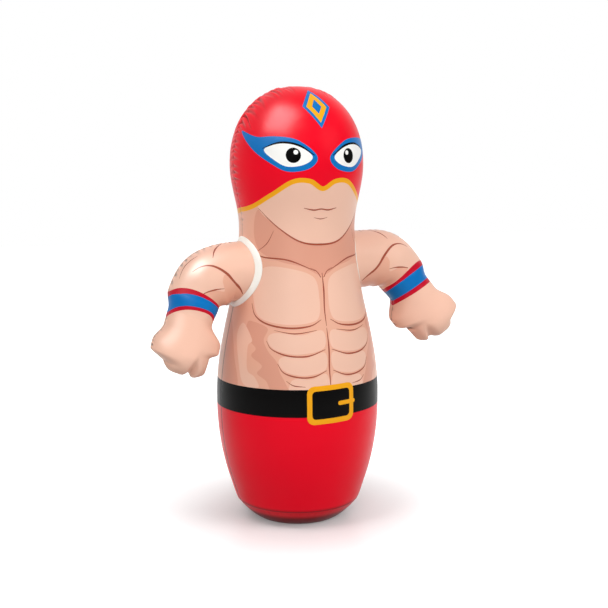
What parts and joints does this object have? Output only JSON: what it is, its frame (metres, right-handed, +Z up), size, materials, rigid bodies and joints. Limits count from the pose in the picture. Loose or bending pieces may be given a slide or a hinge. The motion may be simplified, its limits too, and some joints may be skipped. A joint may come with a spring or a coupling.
{
  "type": "inflatable standing punch bag",
  "caption": "Inflatable standing bag shaped as a masked wrestler, with bent air-filled arms welded at the shoulders, a water-ballasted rounded base and stoppered valves in the back.",
  "frame": {"origin": "centre of the flat base, on the floor", "axes": "+Z up, the figure faces -Y, its left arm is at +X"},
  "size_m": [0.6883, 0.346, 0.91],
  "materials": {
    "printed_vinyl": "glossy printed vinyl sheet",
    "red_vinyl": "glossy red vinyl sheet",
    "white_vinyl": "white vinyl sheet",
    "water": "clear water",
    "valve_vinyl": "moulded translucent white vinyl"
  },
  "bodies": {
    "bag": {"front_panel": "printed_vinyl", "back_panel": "printed_vinyl", "base_panel": "red_vinyl", "side_seam_fin": "printed_vinyl", "base_seam_fin": "red_vinyl", "ballast_diaphragm": "white_vinyl", "ballast_water": "water", "left_shoulder_collar": "white_vinyl", "right_shoulder_collar": "white_vinyl", "air_valve_flange": "valve_vinyl", "fill_valve_neck": "valve_vinyl", "fill_valve_tether": "valve_vinyl"},
    "left_arm": {"left_arm_front_panel": "printed_vinyl", "left_arm_back_panel": "printed_vinyl", "left_arm_seam_fin": "printed_vinyl"},
    "right_arm": {"right_arm_front_panel": "printed_vinyl", "right_arm_back_panel": "printed_vinyl", "right_arm_seam_fin": "printed_vinyl"},
    "air_valve": {"air_valve_neck": "valve_vinyl", "air_valve_tether": "valve_vinyl"},
    "air_plug": {"air_valve_plug": "valve_vinyl"},
    "air_flap": {"air_valve_flap": "valve_vinyl"},
    "fill_plug": {"fill_valve_plug": "valve_vinyl"}
  },
  "joints": [
    {"name": "left_arm_swing", "type": "hinge", "parent": "bag", "child": "left_arm", "pos_m": [0.135, 0, 0.546], "axis": [-1, 0, 0], "range_deg": [-25, 25], "stiffness_Nm_per_rad": 2},
    {"name": "right_arm_swing", "type": "hinge", "parent": "bag", "child": "right_arm", "pos_m": [-0.135, 0, 0.53], "axis": [-1, 0, 0], "range_deg": [-25, 25], "stiffness_Nm_per_rad": 2},
    {"name": "air_valve_pop", "type": "slide", "parent": "bag", "child": "air_valve", "axis": [0, 0.9787, 0.2054], "range_m": [0, 0.012]},
    {"name": "air_plug_pull", "type": "slide", "parent": "air_valve", "child": "air_plug", "axis": [0, 0.9787, 0.2054], "range_m": [0, 0.0085], "deforming": ["air_valve_tether"]},
    {"name": "air_flap_swing", "type": "hinge", "parent": "air_valve", "child": "air_flap", "pos_m": [0, 0.13998, 0.40208], "axis": [-1, 0, 0], "range_deg": [0, 60], "stiffness_Nm_per_rad": 0.0005},
    {"name": "fill_plug_pull", "type": "slide", "parent": "bag", "child": "fill_plug", "axis": [0, 0.9268, -0.3756], "range_m": [0, 0.0075], "deforming": ["fill_valve_tether"]}
  ]
}
